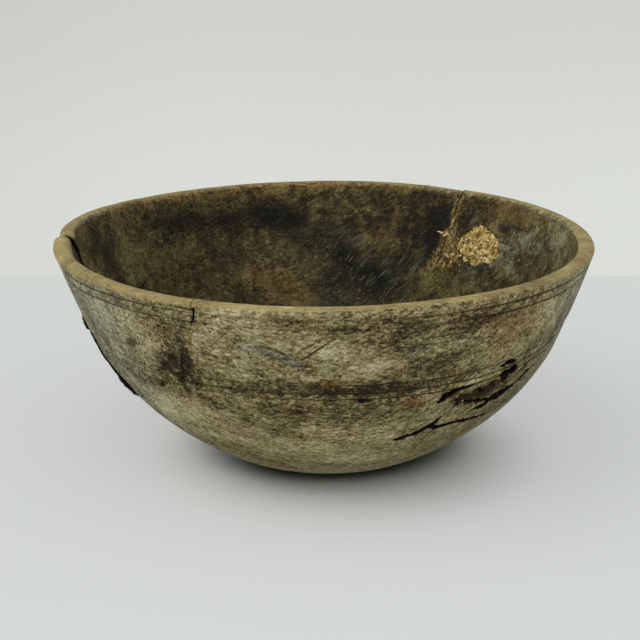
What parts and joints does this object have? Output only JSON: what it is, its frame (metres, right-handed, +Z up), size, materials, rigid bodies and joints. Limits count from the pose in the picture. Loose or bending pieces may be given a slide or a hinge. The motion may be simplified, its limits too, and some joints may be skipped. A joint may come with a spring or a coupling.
{
  "type": "cracked bowl",
  "caption": "Wide turned wooden bowl with a flat foot, fine turned lines, a sprung wedge of wall, drying cracks, beetle holes and a torn patch inside.",
  "frame": {"origin": "centre of the foot, on the ground", "axes": "+Z up along the turning axis, -Y the front, with the wedge of cracked wall at front left"},
  "size_m": [0.3011, 0.3, 0.1214],
  "materials": {
    "aged_wood": "dry, bleached and stained bare wood, matt"
  },
  "bodies": {
    "root": {"bowl": "aged_wood"}
  },
  "joints": []
}
